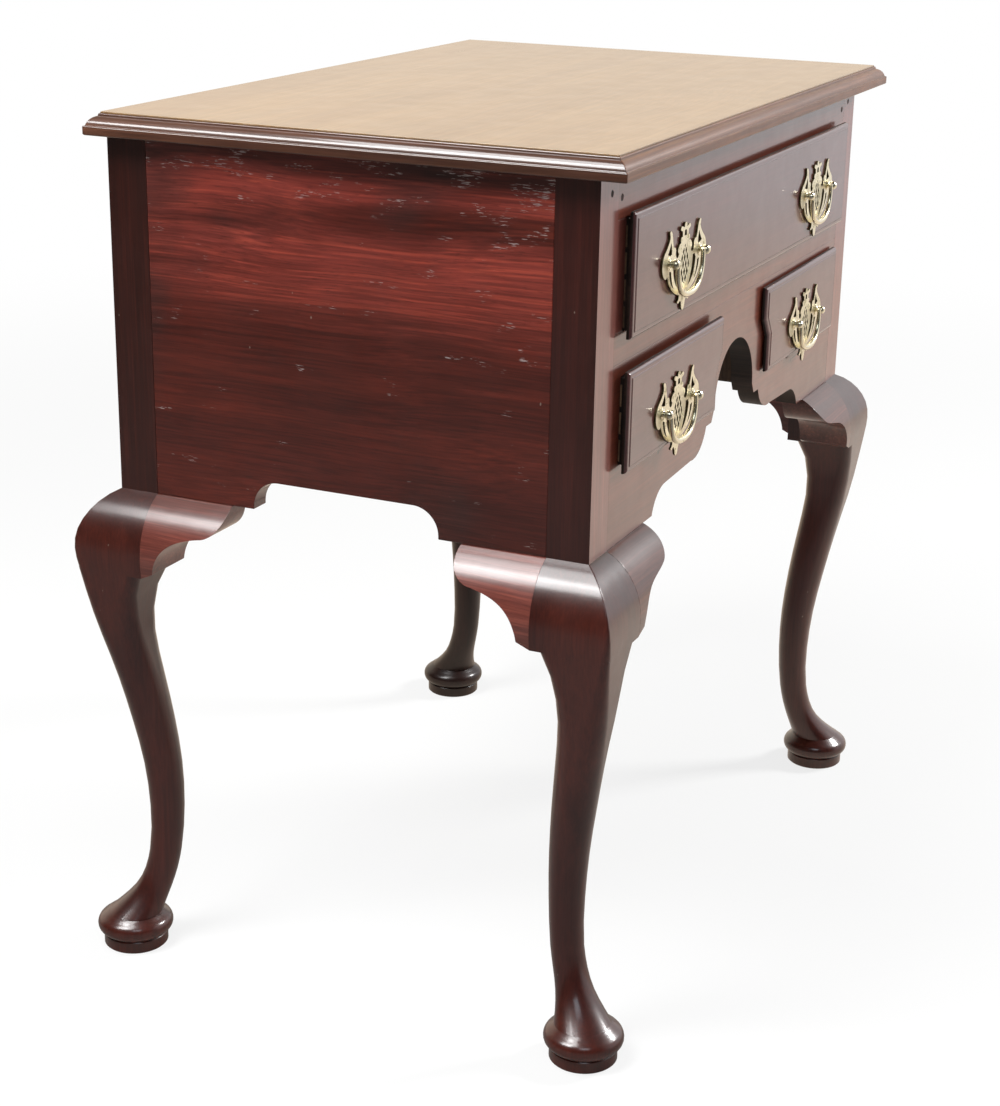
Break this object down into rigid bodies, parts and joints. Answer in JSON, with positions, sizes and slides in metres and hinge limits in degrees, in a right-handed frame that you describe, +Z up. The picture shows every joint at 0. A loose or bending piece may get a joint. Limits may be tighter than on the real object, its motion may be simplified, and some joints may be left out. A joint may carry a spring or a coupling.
{
  "type": "lowboy",
  "caption": "Low dressing table on cabriole legs: one long drawer over two short ones, a kneehole apron and pierced brass pulls.",
  "frame": {"origin": "on the floor under the middle of the case", "axes": "+X to the right seen from the front, front faces -Y, +Z up"},
  "size_m": [0.714, 0.4964, 0.73],
  "materials": {
    "show_wood": "polished dark red mahogany with age",
    "inner_wood": "plain dry oak and pine, unpolished",
    "brass": "worn pale brass, softly polished"
  },
  "bodies": {
    "carcass": {"top_board": "show_wood", "top_moulding_front": "show_wood", "top_moulding_left": "show_wood", "top_moulding_right": "show_wood", "top_moulding_back": "show_wood", "leg_front_left": "show_wood", "leg_front_right": "show_wood", "leg_back_left": "show_wood", "leg_back_right": "show_wood", "knee_block_front_left": "show_wood", "knee_block_front_right": "show_wood", "knee_block_side_front_left": "show_wood", "knee_block_side_front_right": "show_wood", "knee_block_side_back_left": "show_wood", "knee_block_side_back_right": "show_wood", "side_panel_left": "show_wood", "side_panel_right": "show_wood", "top_rail": "show_wood", "middle_rail": "show_wood", "apron": "show_wood", "front_stile_left": "show_wood", "front_stile_right": "show_wood", "pegs": "show_wood", "back_board": "inner_wood", "long_drawer_runner_left": "inner_wood", "long_drawer_runner_right": "inner_wood", "kickers": "inner_wood", "short_drawer_runners_left": "inner_wood", "short_drawer_runners_right": "inner_wood", "partition_left": "inner_wood", "partition_right": "inner_wood", "glue_blocks": "inner_wood"},
    "long_drawer": {"long_drawer_front": "show_wood", "long_drawer_side_left": "inner_wood", "long_drawer_side_right": "inner_wood", "long_drawer_back": "inner_wood", "long_drawer_bottom": "inner_wood", "pull_upper_left_plate": "brass", "pull_upper_left_posts": "brass", "pull_upper_right_plate": "brass", "pull_upper_right_posts": "brass"},
    "left_drawer": {"left_drawer_front": "show_wood", "left_drawer_side_left": "inner_wood", "left_drawer_side_right": "inner_wood", "left_drawer_back": "inner_wood", "left_drawer_bottom": "inner_wood", "pull_lower_left_plate": "brass", "pull_lower_left_posts": "brass"},
    "right_drawer": {"right_drawer_front": "show_wood", "right_drawer_side_left": "inner_wood", "right_drawer_side_right": "inner_wood", "right_drawer_back": "inner_wood", "right_drawer_bottom": "inner_wood", "pull_lower_right_plate": "brass", "pull_lower_right_posts": "brass"},
    "pull_upper_left_bail": {"pull_upper_left_bail": "brass"},
    "pull_upper_right_bail": {"pull_upper_right_bail": "brass"},
    "pull_lower_left_bail": {"pull_lower_left_bail": "brass"},
    "pull_lower_right_bail": {"pull_lower_right_bail": "brass"}
  },
  "joints": [
    {"name": "long_drawer_slide", "type": "slide", "parent": "carcass", "child": "long_drawer", "axis": [0, -1, 0], "range_m": [-0.0044, 0.27]},
    {"name": "left_drawer_slide", "type": "slide", "parent": "carcass", "child": "left_drawer", "axis": [0, -1, 0], "range_m": [-0.0044, 0.26]},
    {"name": "right_drawer_slide", "type": "slide", "parent": "carcass", "child": "right_drawer", "axis": [0, -1, 0], "range_m": [-0.0012, 0.26]},
    {"name": "pull_upper_left_hinge", "type": "hinge", "parent": "long_drawer", "child": "pull_upper_left_bail", "pos_m": [-0.177, -0.2248, 0.6315], "axis": [-1, 0, 0], "range_deg": [-4, 165]},
    {"name": "pull_upper_right_hinge", "type": "hinge", "parent": "long_drawer", "child": "pull_upper_right_bail", "pos_m": [0.177, -0.2248, 0.6315], "axis": [-1, 0, 0], "range_deg": [-4, 165]},
    {"name": "pull_lower_left_hinge", "type": "hinge", "parent": "left_drawer", "child": "pull_lower_left_bail", "pos_m": [-0.177, -0.2248, 0.5132], "axis": [-1, 0, 0], "range_deg": [-4, 165]},
    {"name": "pull_lower_right_hinge", "type": "hinge", "parent": "right_drawer", "child": "pull_lower_right_bail", "pos_m": [0.177, -0.2216, 0.5132], "axis": [-1, 0, 0], "range_deg": [-4, 165]}
  ]
}
